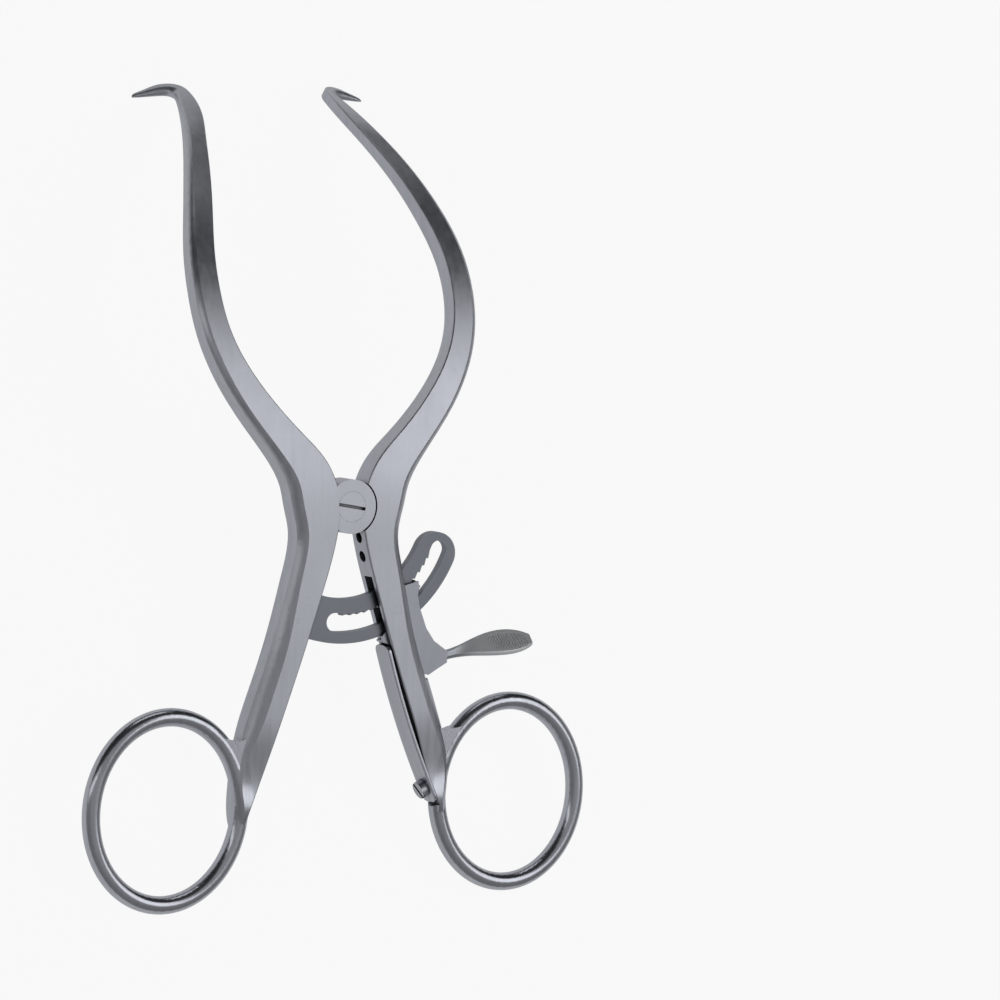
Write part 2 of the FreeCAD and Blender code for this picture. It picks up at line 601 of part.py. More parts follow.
slot_ends = rack.newObject("Sketcher::SketchObject", "slot_end_outline")
plane = [f for f in rack.Origin.OriginFeatures if f.Role == "XY_Plane"][0]
slot_ends.AttachmentSupport = [(plane, "")]
slot_ends.MapMode = "FlatFace"
for count, word in enumerate(("rack_slot_start", "rack_slot_end")):
    middle = (size("rack_valley") + size("rack_slot_out")) / 2
    round_radius = (size("rack_slot_out") - size("rack_valley")) / 2
    centre = polar(middle, size(word))
    slot_ends.addGeometry(Part.Circle(centre, vec(0, 0, 1), round_radius), False)
    middle_words = "(Sizes.rack_valley + Sizes.rack_slot_out) / 2"
    spot = slot_ends.addConstraint(Sketcher.Constraint("Radius", count, round_radius))
    slot_ends.setExpression("Constraints[%d]" % spot, "(Sizes.rack_slot_out - Sizes.rack_valley) / 2")
    spot = slot_ends.addConstraint(Sketcher.Constraint("DistanceX", -1, 1, count, 3, centre.x))
    slot_ends.setExpression("Constraints[%d]" % spot, "%s * sin(Sizes.%s * 1 deg)" % (middle_words, word))
    spot = slot_ends.addConstraint(Sketcher.Constraint("DistanceY", -1, 1, count, 3, centre.y))
    slot_ends.setExpression("Constraints[%d]" % spot, "-(%s) * cos(Sizes.%s * 1 deg)" % (middle_words, word))
end_rounds = rack.newObject("PartDesign::Pocket", "slot_end_rounds")
end_rounds.Profile = slot_ends
end_rounds.Type = 1
end_rounds.Midplane = True
doc.recompute()

# One saw tooth, then its pattern round the pivot axis
tooth_sketch = rack.newObject("Sketcher::SketchObject", "tooth_outline")
tooth_sketch.AttachmentSupport = [(plane, "")]
tooth_sketch.MapMode = "FlatFace"
ROOT = "Sizes.rack_valley - Sizes.tooth_root"
tooth_foot = size("rack_valley") - size("tooth_root")
tooth_heel = size("rack_valley") + size("tooth_lift")
tooth_corners = [
    (ROOT, tooth_foot, "0", 0.0),
    ("Sizes.rack_tip", size("rack_tip"), "Sizes.tooth_crest", size("tooth_crest")),
    ("Sizes.rack_valley + Sizes.tooth_lift", tooth_heel, "Sizes.tooth_back", size("tooth_back")),
    (ROOT, tooth_foot, "Sizes.tooth_back", size("tooth_back")),
]
spots = []
for words, reach, share_words, share in tooth_corners:
    spots.append(polar(reach, size("tooth_first") + share * size("tooth_pitch")))
for k in range(4):
    tooth_sketch.addGeometry(Part.LineSegment(spots[k], spots[(k + 1) % 4]), False)
for k in range(4):
    tooth_sketch.addConstraint(Sketcher.Constraint("Coincident", k, 2, (k + 1) % 4, 1))
for k, (words, reach, share_words, share) in enumerate(tooth_corners):
    angle = "(Sizes.tooth_first + %s * Sizes.tooth_pitch) * 1 deg" % share_words
    spot = tooth_sketch.addConstraint(Sketcher.Constraint("DistanceX", -1, 1, k, 1, spots[k].x))
    tooth_sketch.setExpression("Constraints[%d]" % spot, "(%s) * sin(%s)" % (words, angle))
    spot = tooth_sketch.addConstraint(Sketcher.Constraint("DistanceY", -1, 1, k, 1, spots[k].y))
    tooth_sketch.setExpression("Constraints[%d]" % spot, "-(%s) * cos(%s)" % (words, angle))
tooth = padded(rack, "tooth", tooth_sketch, "Sizes.rack_thick")
doc.recompute()
teeth = rack.newObject("PartDesign::PolarPattern", "teeth")
teeth.Originals = [tooth]
teeth.Axis = (tooth_sketch, ["N_Axis"])
teeth.setExpression("Occurrences", "Sizes.tooth_count")
teeth.setExpression("Angle", "(Sizes.tooth_count - 1) * Sizes.tooth_pitch")
rack.Tip = teeth
doc.recompute()
print("rack", round(rack.Shape.Volume, 1), "before teeth", round(end_rounds.Shape.Volume, 1))
rivet_tools = fused("rack_rivet_holes", rivet_holes)
ratchet_rack = cut("ratchet_rack", rack, rivet_tools)

# Release lever: thin cheek in front of the rack, thick tail and neck outside
# the rack's path, a nose between the teeth and a twisted finger tab
lever_sketch = outline_sketch("lever_outline", "lever", len(LEVER_POINTS))
lever_plate = extruded("lever_plate", lever_sketch, "Sizes.lever_back", "Sizes.lever_front")
lever_room = cylinder("lever_room", "Sizes.rack_out + Sizes.lever_room", "-" + OVER, "Sizes.cheek_back")
lever_thin = cut("lever_thin", lever_plate, lever_room)
nose_sketch = outline_sketch("nose_outline", "nose", len(NOSE_POINTS))
lever_nose = extruded("lever_nose", nose_sketch, "Sizes.lever_back", "Sizes.cheek_back")


def tab_shape():
    """The finger tab: a blade lofted through rounded sections that twist."""
    wires = []
    for station in TAB_STATIONS:
        x, y, z, wide, thick, tilt = [
            size(station[0] + "_" + k) for k in ("x", "y", "z", "wide", "thick", "tilt")]
        turn = math.radians(tilt)
        across = vec(0, -math.cos(turn), math.sin(turn))
        front = vec(0, math.sin(turn), math.cos(turn))
        wires.append(rounded_section(vec(x, y, z), across, front, wide, thick, 0.4 * thick, 0.4 * thick))
    return Part.makeLoft(wires, True, False)


tab = doc.addObject("Part::Feature", "finger_tab")
tab.Shape = tab_shape()
lever_whole = fused("lever_whole", [lever_thin, lever_nose, tab])
lever_bore = cylinder("lever_bore", "Sizes.pin_radius + Sizes.running_gap", "-" + OVER, OVER,
                      pin_x, pin_y)
release_pawl = cut("release_pawl", lever_whole, lever_bore)

# Leaf spring: a straight seated end and a bowed free length, seen edge on
thick = size("spring_thick")
bow = size("spring_bow")
half_seat = size("spring_seat") / 2
bow_turn = size("spring_free") / bow


def strip_arc(radius):
    """An arc from the seat's upper end, bowed so that the tip comes back to the arm."""
    centre = vec(bow, half_seat)
    start = centre - vec(radius, 0)
    middle = centre + vec(-radius * math.cos(bow_turn / 2), radius * math.sin(bow_turn / 2))
    end = centre + vec(-radius * math.cos(bow_turn), radius * math.sin(bow_turn))
    return start, middle, end


in_start, in_middle, in_end = strip_arc(bow + thick)
out_start, out_middle, out_end = strip_arc(bow)
strip_wire = Part.Wire([
    Part.LineSegment(vec(0, -half_seat), out_start).toShape(),
    Part.Arc(out_start, out_middle, out_end).toShape(),
    Part.LineSegment(out_end, in_end).toShape(),
    Part.Arc(in_end, in_middle, in_start).toShape(),
    Part.LineSegment(in_start, vec(-thick, -half_seat)).toShape(),
    Part.LineSegment(vec(-thick, -half_seat), vec(0, -half_seat)).toShape(),
])
strip = doc.addObject("Part::Feature", "spring_strip")
strip.Shape = Part.Face(strip_wire).extrude(vec(0, 0, size("spring_wide")))
strip.Placement = FreeCAD.Placement(
    seat_spot - vec(0, 0, size("spring_wide") / 2), FreeCAD.Rotation(vec(0, 0, 1), seat_turn))
doc.recompute()
short = []
for count, edge in enumerate(strip.Shape.Edges):
    if abs(edge.Length - thick) < 0.01 and edge.BoundBox.ZLength < 0.01:
        short.append((count + 1, size("spring_round"), size("spring_round")))
strip_round = doc.addObject("Part::Fillet", "spring_rounds")
strip_round.Base = strip
strip_round.Edges = short
spring_hole = doc.addObject("Part::Cylinder", "spring_hole")
bind(spring_hole, {"Radius": "Sizes.screw_radius + Sizes.running_gap", "Height": "3 * Sizes.spring_thick"})
spring_hole.Placement = FreeCAD.Placement(seat_spot - seat_in * size("spring_thick"), seat_frame)
leaf_spring = cut("leaf_spring", strip_round, spring_hole)

# Spring screw: a slotted cheese head over the spring, thread in the arm
spring_head = doc.addObject("Part::Cylinder", "spring_screw_head")
bind(spring_head, {"Radius": "Sizes.screw_head_radius", "Height": "Sizes.screw_head_deep"})
spring_head.Placement = FreeCAD.Placement(seat_spot + seat_in * size("spring_thick"), seat_frame)
spring_thread = doc.addObject("Part::Cylinder", "spring_screw_thread")
bind(spring_thread, {"Radius": "Sizes.screw_radius", "Height": "Sizes.screw_long + Sizes.spring_thick"})
spring_thread.Placement = FreeCAD.Placement(seat_spot - seat_in * size("screw_long"), seat_frame)
screw_stock = fused("spring_screw_stock", [spring_head, spring_thread])
screw_slot = doc.addObject("Part::Box", "spring_screw_slot")
bind(screw_slot, {"Length": "4 * Sizes.screw_head_radius", "Width": "Sizes.slot_width",
                  "Height": "Sizes.screw_slot_deep"})
slot_rotation = seat_frame.multiply(FreeCAD.Rotation(vec(0, 0, 1), size("screw_slot_turn")))
slot_top = size("spring_thick") + size("screw_head_deep") - size("screw_slot_deep")
slot_corner = slot_rotation.multVec(vec(-2 * size("screw_head_radius"), -size("slot_width") / 2))
screw_slot.Placement = FreeCAD.Placement(seat_spot + seat_in * slot_top + slot_corner, slot_rotation)
spring_screw = cut("spring_screw", screw_stock, screw_slot)
doc.recompute()

# Tilt of the whole instrument: the plane under the rings and the prongs
top = hook_start + hook_along * size("prong_radius")
top_half = size("hook_bend_b_thick") / 2
rise = top.y + size("ring_y") + size("ring_half_length")
fall = -top.z
tilt = math.degrees(
    math.asin((top_half - size("ring_bar")) / math.hypot(rise, fall)) + math.atan2(fall, rise))
print("tilt", round(tilt, 3))
rest = FreeCAD.Rotation(vec(1, 0, 0), tilt)
lift = rest.multVec(vec(0, 0, size("plate") / 2 - size("disc_step")))
whole_place = FreeCAD.Placement(lift, rest)

NODES = [right_arm, left_arm, pivot_screw, ratchet_rack, rack_rivets, release_pawl, pawl_pin, leaf_spring,
         spring_screw]
for node in NODES:
    node.Placement = whole_place.multiply(node.Placement)
doc.recompute()

for thing in doc.Objects:
    if "Invalid" in thing.State or "Error" in thing.State:
        raise RuntimeError("failed object: " + thing.Name)

os.makedirs("parts", exist_ok=True)
for node in NODES:
    node.Label = node.Name
    shape = node.Shape
    if shape.isNull() or not shape.isValid():
        raise RuntimeError("bad shape: " + node.Label)
    print(node.Label, "solids", len(shape.Solids), "volume", round(shape.Volume, 2))
    shape.exportStep("parts/%s.step" % node.Label)
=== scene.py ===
# %% [markdown]
# # Self retaining retractor
# A ring handled instrument of satin stainless steel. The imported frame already
# holds every forging, screw and lever in metres, so this lesson brings the
# camera, the light, the finishes and the fine pieces that metalwork shows up
# close. Everything is worked out in the instrument's own design frame first:
# the pivot axis is its Z, the prongs point along its Y, and the arm with the
# release lever is on the +X side. One turn about X lays it on the floor.

# %% Load the frame
import bpy
import json
import math
import numpy as np
from mathutils import Matrix, Vector


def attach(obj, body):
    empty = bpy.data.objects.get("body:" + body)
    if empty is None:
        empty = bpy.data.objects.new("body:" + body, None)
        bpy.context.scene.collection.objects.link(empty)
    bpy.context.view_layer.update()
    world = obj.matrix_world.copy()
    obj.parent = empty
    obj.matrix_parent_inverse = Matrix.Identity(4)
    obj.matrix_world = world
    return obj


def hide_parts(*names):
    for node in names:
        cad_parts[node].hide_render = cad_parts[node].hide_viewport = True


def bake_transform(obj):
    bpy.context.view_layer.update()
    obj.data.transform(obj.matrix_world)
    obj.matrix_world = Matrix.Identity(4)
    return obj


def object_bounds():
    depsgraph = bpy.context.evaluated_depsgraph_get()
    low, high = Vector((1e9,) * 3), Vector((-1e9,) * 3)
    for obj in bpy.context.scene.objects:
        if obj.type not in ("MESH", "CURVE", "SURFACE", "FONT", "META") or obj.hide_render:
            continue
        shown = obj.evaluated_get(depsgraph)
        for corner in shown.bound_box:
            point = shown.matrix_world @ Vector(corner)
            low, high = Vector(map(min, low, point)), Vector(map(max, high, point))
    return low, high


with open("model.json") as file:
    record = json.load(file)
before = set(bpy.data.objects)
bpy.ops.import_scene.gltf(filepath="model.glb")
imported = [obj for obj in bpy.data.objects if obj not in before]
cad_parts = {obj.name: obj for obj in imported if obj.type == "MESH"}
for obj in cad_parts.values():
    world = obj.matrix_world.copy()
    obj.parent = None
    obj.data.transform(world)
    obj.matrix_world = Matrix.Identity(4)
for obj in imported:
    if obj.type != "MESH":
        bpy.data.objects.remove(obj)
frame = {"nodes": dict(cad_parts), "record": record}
cad_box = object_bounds()
nodes = frame["nodes"]
print("nodes", sorted(nodes))

# %% [markdown]
# The tilt isn't typed again. The hinge axis in the record is the design
# frame's Z seen from the floor, so its slope gives the angle.

# %% Design frame to floor frame
MM = 0.001
HALF_JOINT = 2.88
axis = frame["record"]["behaviour"]["joints"][0]["axis"]
TILT = math.atan2(-axis[1], axis[2])
print("tilt in degrees", round(math.degrees(TILT), 3))


def to_floor(points):
    """Design millimetres to floor metres: lift by the joint's half thickness,
    turn about X by the tilt, divide by a thousand."""
    p = np.asarray(points, float)
    c, s = math.cos(TILT), math.sin(TILT)
    x, y, z = p[..., 0], p[..., 1], p[..., 2] + HALF_JOINT
    return np.stack([x, y * c - z * s, y * s + z * c], axis=-1) * MM


# %% [markdown]
# ## Camera
# The photograph was taken from the left and a little from above, about 1.1 m
# away. The lens is long, so the two rings keep nearly the same size. The three
# camera axes are written as vectors of two angles and a small roll. The fit
# gives these in radians, the distance in millimetres, the pixels per
# millimetre at the joint, and the pixel where the pivot's front face is seen.

# %% Place the camera
VIEW_LEFT, VIEW_UP, VIEW_ROLL = 0.5559, 0.0816, 0.0238
REACH, SCALE = 1125.0, 4.7969
AIM_U, AIM_V = 352.39, 506.82
PICTURE, SENSOR = 1000, 36.0
FRONT_FACE = 2.9


def camera_axes(left, up, roll):
    """Right, up and backward axes: turn by the left angle, lift by the up
    angle, then roll the first two about the third."""
    e1 = np.array([math.cos(left), 0.0, math.sin(left)])
    e2 = np.array([math.sin(left) * math.sin(up), math.cos(up), -math.cos(left) * math.sin(up)])
    back = np.array([-math.sin(left) * math.cos(up), math.sin(up), math.cos(left) * math.cos(up)])
    right = e1 * math.cos(roll) + e2 * math.sin(roll)
    top = -e1 * math.sin(roll) + e2 * math.cos(roll)
    return right, top, back


right, top, back = camera_axes(VIEW_LEFT, VIEW_UP, VIEW_ROLL)
eye = back * REACH + right * (PICTURE / 2 - AIM_U) / SCALE + top * (AIM_V - PICTURE / 2) / SCALE
eye = to_floor(eye + np.array([0.0, 0.0, FRONT_FACE]))
turn = Matrix.Rotation(TILT, 3, "X")
lens = bpy.data.cameras.new("photo_lens")
lens.sensor_width = SENSOR
lens.lens = SCALE * REACH / PICTURE * SENSOR
lens.clip_start, lens.clip_end = 0.01, 20.0
camera = bpy.data.objects.new("photo_camera", lens)
bpy.context.collection.objects.link(camera)
pose = Matrix([right, top, back]).transposed()
camera.matrix_world = Matrix.Translation(Vector(eye)) @ (turn @ pose).to_4x4()
bpy.context.scene.camera = camera
print("camera at", np.round(eye, 4), "lens", round(lens.lens, 1))

# %% [markdown]
# ## Floor and light
# Bare steel shows its surroundings, so the light is mostly big soft panels and
# a grey room. The floor glows nearly white for the camera and grey in
# reflections, and it still receives the instrument's soft shadow.

# %% [markdown]
# Every material is a tree of nodes, so four short helpers make, feed and join
# them.

# %% Small helpers for nodes


def new_material(name):
    """A material with an empty node tree and its output."""
    material = bpy.data.materials.new(name)
    material.use_nodes = True
    tree = material.node_tree
    tree.nodes.clear()
    out = tree.nodes.new("ShaderNodeOutputMaterial")
    return material, tree, out


def node(tree, kind, **values):
    """A node of some kind with its own settings."""
    made = tree.nodes.new(kind)
    for key, value in values.items():
        setattr(made, key, value)
    return made


def feed(tree, socket, value):
    """Link a socket to an output, or set its number or colour."""
    if isinstance(value, bpy.types.NodeSocket):
        tree.links.new(value, socket)
    else:
        socket.default_value = value


def maths(tree, operation, a, b=0.0, clamp=False):
    """One Math node on two values."""
    made = node(tree, "ShaderNodeMath", operation=operation, use_clamp=clamp)
    feed(tree, made.inputs[0], a)
    feed(tree, made.inputs[1], b)
    return made.outputs[0]


def stretched(tree, value, low, high, out_low=0.0, out_high=1.0):
    """Map a value smoothly from one range to another: the share t of the way
    from low to high is eased as 3 t squared minus 2 t cubed."""
    made = node(tree, "ShaderNodeMapRange", interpolation_type="SMOOTHSTEP")
    for k, number in enumerate((value, low, high, out_low, out_high)):
        feed(tree, made.inputs[k], number)
    return made.outputs[0]


print("helpers ready")

# %% [markdown]
# The floor mixes a matt white with a glow. The share of the glow depends on
# who looks: the camera sees it nearly white, and steel sees it grey.

# %% Floor
FLOOR_GREY, CAMERA_GLOW, MIRROR_GLOW = 0.9, 0.92, 0.38
floor_material, tree, out = new_material("pale_floor")
matt = node(tree, "ShaderNodeBsdfDiffuse")
matt.inputs["Color"].default_value = (FLOOR_GREY, FLOOR_GREY, FLOOR_GREY, 1)
glow = node(tree, "ShaderNodeEmission")
glow.inputs["Color"].default_value = (1, 1, 1, 1)
glow.inputs["Strength"].default_value = 1.0
path = node(tree, "ShaderNodeLightPath")
seen = maths(tree, "ADD", path.outputs["Is Camera Ray"],
             path.outputs["Is Transmission Ray"], clamp=True)
share = maths(tree, "MULTIPLY", seen, CAMERA_GLOW)
mirrored = maths(tree, "MULTIPLY", path.outputs["Is Glossy Ray"], MIRROR_GLOW)
share = maths(tree, "MAXIMUM", share, mirrored)
mixed = node(tree, "ShaderNodeMixShader")
feed(tree, mixed.inputs[0], share)
tree.links.new(matt.outputs[0], mixed.inputs[1])
tree.links.new(glow.outputs[0], mixed.inputs[2])
tree.links.new(mixed.outputs[0], out.inputs[0])

FLOOR_HALF = 2.5
low_z = float(cad_box[0][2])
floor_mesh = bpy.data.meshes.new("floor")
floor_mesh.from_pydata(
    [(-FLOOR_HALF, -FLOOR_HALF, low_z), (FLOOR_HALF, -FLOOR_HALF, low_z),
     (FLOOR_HALF, FLOOR_HALF, low_z), (-FLOOR_HALF, FLOOR_HALF, low_z)], [], [(0, 1, 2, 3)])
floor = bpy.data.objects.new("floor", floor_mesh)
floor.data.materials.append(floor_material)
bpy.context.collection.objects.link(floor)
print("floor at height", round(low_z, 5))

# %% [markdown]
# The room is grey, a little lighter overhead and nearly black beyond the
# prongs. The blades bend back, so they mirror that dark wall in a band. The
# camera itself sees a white background. A direction's Y tells how far it
# points beyond the prongs, and its Z how far it points up.

# %% Room
WALL_GREY, CEILING_GREY, FAR_WALL_SHARE = 0.20, 0.12, 0.12
FAR_FROM, FAR_FULL = 0.12, 0.45
CEILING_FROM, CEILING_FULL = 0.55, 0.95
world = bpy.data.worlds.new("grey_room")
world.use_nodes = True
tree = world.node_tree
tree.nodes.clear()
toward = node(tree, "ShaderNodeSeparateXYZ")
feed(tree, toward.inputs[0], node(tree, "ShaderNodeTexCoord").outputs["Generated"])
far_wall = stretched(tree, toward.outputs[1], FAR_FROM, FAR_FULL)
ceiling = stretched(tree, toward.outputs[2], CEILING_FROM, CEILING_FULL)
grey = maths(tree, "ADD", WALL_GREY, maths(tree, "MULTIPLY", ceiling, CEILING_GREY))
grey = maths(tree, "MULTIPLY", grey, stretched(tree, far_wall, 0.0, 1.0, 1.0, FAR_WALL_SHARE))
path = node(tree, "ShaderNodeLightPath")
walls = node(tree, "ShaderNodeBackground")
feed(tree, walls.inputs["Color"], grey)
plain = node(tree, "ShaderNodeBackground")
plain.inputs["Color"].default_value = (1, 1, 1, 1)
both = node(tree, "ShaderNodeMixShader")
tree.links.new(path.outputs["Is Camera Ray"], both.inputs[0])
tree.links.new(walls.outputs[0], both.inputs[1])
tree.links.new(plain.outputs[0], both.inputs[2])
sky = node(tree, "ShaderNodeOutputWorld")
tree.links.new(both.outputs[0], sky.inputs[0])
bpy.context.scene.world = world
print("world", world.name)

# %% [markdown]
# Three soft panels stand in the room: a large one on the right that the flat
# fronts mirror back to the camera, a narrow one on the left for the bevels,
# and a low one beyond the prongs for the ends of the blades.

# %% Soft panels


def soft_panel(name, place, size, watts):
    """A rectangular lamp that faces the joint, with sizes in metres."""
    lamp = bpy.data.lights.new(name, "AREA")
    lamp.shape = "RECTANGLE"
    lamp.size, lamp.size_y = size
    lamp.energy = watts
    panel = bpy.data.objects.new(name, lamp)
    place = Vector(place)
    panel.location = place
    panel.rotation_euler = (-place).to_track_quat("-Z", "Y").to_euler()
    bpy.context.collection.objects.link(panel)


soft_panel("right_panel", (0.72, -0.05, 0.95), (0.75, 0.75), 1.75)
soft_panel("left_panel", (-0.95, 0.1, 0.55), (0.22, 0.9), 0.55)
soft_panel("top_panel", (0.1, 1.0, 0.45), (0.7, 0.3), 0.55)

# %% [markdown]
# ## Steel
# All the steel is the same metal with different finishing. Four effects are
# shared. Brushing is fine lines left by the belt, long in one direction.
# Handling is a slow cloudy change of gloss. Edges get a painted highlight:
# their colour is lightened where a rounded copy of the normal differs from the
# true one, which is only near an edge. Slots, seams and drilled holes get
# painted shade, darkened where little of the room is seen. Each effect is a
# node group.
# Brushing has two layers of noise, fine lines and broad ones, and each has its
# own multiple of the fineness and its own detail.

# %% Group: brushing


def new_group(name, inputs, outputs):
    """An empty shader node group with named sockets."""
    group = bpy.data.node_groups.new(name, "ShaderNodeTree")
    for label, kind, value in inputs:
        made = group.interface.new_socket(name=label, in_out="INPUT", socket_type=kind)
        if value is not None:
            made.default_value = value
    for label, kind in outputs:
        group.interface.new_socket(name=label, in_out="OUTPUT", socket_type=kind)
    entry = group.nodes.new("NodeGroupInput")
    leave = group.nodes.new("NodeGroupOutput")
    return group, entry, leave


FLOAT, VECTOR = "NodeSocketFloat", "NodeSocketVector"
brushing, entry, leave = new_group(
    "belt_brushing",
    [("Place", VECTOR, None), ("Fineness", FLOAT, 900.0), ("Stretch", FLOAT, 0.03)],
    [("Lines", FLOAT), ("Broad", FLOAT)])
squeeze = node(brushing, "ShaderNodeCombineXYZ")
feed(brushing, squeeze.inputs[0], 1.0)
feed(brushing, squeeze.inputs[1], entry.outputs["Stretch"])
feed(brushing, squeeze.inputs[2], 1.0)
thin = node(brushing, "ShaderNodeVectorMath", operation="MULTIPLY")
feed(brushing, thin.inputs[0], entry.outputs["Place"])
feed(brushing, thin.inputs[1], squeeze.outputs[0])
LAYERS, LAYER_ROUGH = (("Lines", 1.0, 4.0), ("Broad", 0.22, 2.0)), 0.6
for label, times, detail in LAYERS:
    noise = node(brushing, "ShaderNodeTexNoise")
    scale = maths(brushing, "MULTIPLY", entry.outputs["Fineness"], times)
    feed(brushing, noise.inputs["Vector"], thin.outputs[0])
    feed(brushing, noise.inputs["Scale"], scale)
    feed(brushing, noise.inputs["Detail"], detail)
    feed(brushing, noise.inputs["Roughness"], LAYER_ROUGH)
    feed(brushing, leave.inputs[label], noise.outputs["Fac"])
print("group", brushing.name)

# %% [markdown]
# Hands leave slow clouds, so this noise is coarse: 60 to the metre.

# %% Group: handling clouds
clouds, entry, leave = new_group(
    "handling_clouds", [("Place", VECTOR, None), ("Size", FLOAT, 60.0)], [("Cloud", FLOAT)])
noise = node(clouds, "ShaderNodeTexNoise")
feed(clouds, noise.inputs["Vector"], entry.outputs["Place"])
feed(clouds, noise.inputs["Scale"], entry.outputs["Size"])
feed(clouds, noise.inputs["Detail"], 3.0)
feed(clouds, leave.inputs["Cloud"], noise.outputs["Fac"])
print("group", clouds.name)

# %% [markdown]
# One minus the cosine between the rounded and the true normal is nothing on a
# face and grows at an edge. There the colour is lightened as a painted
# highlight. The radius is in metres.

# %% Group: painted edge highlight
EDGE_RADIUS, EDGE_FROM = 0.00035, 0.01
edges, entry, leave = new_group("painted_edge_highlight", [("Softness", FLOAT, 0.3)], [("Edge", FLOAT)])
rounded = node(edges, "ShaderNodeBevel", samples=6)
rounded.inputs["Radius"].default_value = EDGE_RADIUS
true = node(edges, "ShaderNodeNewGeometry")
same = node(edges, "ShaderNodeVectorMath", operation="DOT_PRODUCT")
feed(edges, same.inputs[0], rounded.outputs[0])
feed(edges, same.inputs[1], true.outputs["Normal"])
differs = maths(edges, "SUBTRACT", 1.0, same.outputs["Value"])
feed(edges, leave.inputs["Edge"],
     stretched(edges, differs, EDGE_FROM, entry.outputs["Softness"]))
print("group", edges.name)

# %% [markdown]
# The openness of a point is the share of the directions round it that meet
# nothing within about two millimetres. Where it is low, the colour is darkened
# as painted shade.

# %% Group: painted recess shade
RECESS_REACH, SHUT, OPEN = 0.0022, 0.30, 0.85
recesses, entry, leave = new_group("painted_recess_shade", [("Darkest", FLOAT, 0.1)], [("Open", FLOAT)])
shelter = node(recesses, "ShaderNodeAmbientOcclusion", samples=8)
shelter.inputs["Distance"].default_value = RECESS_REACH
feed(recesses, leave.inputs["Open"],
     stretched(recesses, shelter.outputs["AO"], SHUT, OPEN, entry.outputs["Darkest"], 1.0))
print("groups", [g.name for g in bpy.data.node_groups])

# %% [markdown]
# Three more helpers place a group in a material and mix colours or numbers by
# a share: the result is a times one minus the share, plus b times the share.

# %% Mixing


def placed_group(tree, group, **values):
    """A group node in a tree, with its inputs fed by name."""
    made = node(tree, "ShaderNodeGroup")
    made.node_tree = group
    for label, value in values.items():
        feed(tree, made.inputs[label], value)
    return made


def mix_colour(tree, share, a, b):
    """Two colours mixed by a share."""
    made = node(tree, "ShaderNodeMix", data_type="RGBA")
    feed(tree, made.inputs[0], share)
    feed(tree, made.inputs[6], a)
    feed(tree, made.inputs[7], b)
    return made.outputs[2]


def mix_value(tree, share, a, b):
    """Two numbers mixed by a share."""
    made = node(tree, "ShaderNodeMix", data_type="FLOAT")
    feed(tree, made.inputs[0], share)
    feed(tree, made.inputs[2], a)
    feed(tree, made.inputs[3], b)
    return made.outputs[0]


print("mixing ready")

# %% [markdown]
# One function builds every finish. Colours are mixed between a base and a
# lighter edge colour that is a painted highlight, the brushing moves the
# roughness and the bump, and the shader itself stays in the material. The
# shares below say how dark the grain is against the base, and how much each
# layer counts. The near-black recess colour is painted shade in slots and
# seams, the frost colour is a painted sheen that lightens the rougher finger
# tab, and the mirror values belong to the buffed rings, where most of the
# relief is lost.

# %% Steel finishes
GRAIN_DARK, FINE_SHARE, BROAD_SHARE = 0.84, 0.6, 0.4
GLOSS_LINES, GLOSS_CLOUD = 0.7, 0.3
NOISE_LOW, NOISE_HIGH = 0.3, 0.7
# How far the painted edge highlight and the painted recess shade move the colour.
EDGE_HIGHLIGHT_SHARE, RECESS_SHADE_DARKEST = 0.3, 0.08
# Near-black colour painted into slots, seams and holes as shade.
RECESS_SHADE = (0.02, 0.022, 0.024, 1)
# The tab's light colour is a painted sheen; its roughness is the frosted finish.
TAB_PAINTED_SHEEN, FROST_ROUGH = (0.86, 0.88, 0.90, 1), 0.58
MIRROR_ROUGH, MIRROR_CALM = 0.22, 0.85
RELIEF, RELIEF_DEEP = 0.06, 0.0004


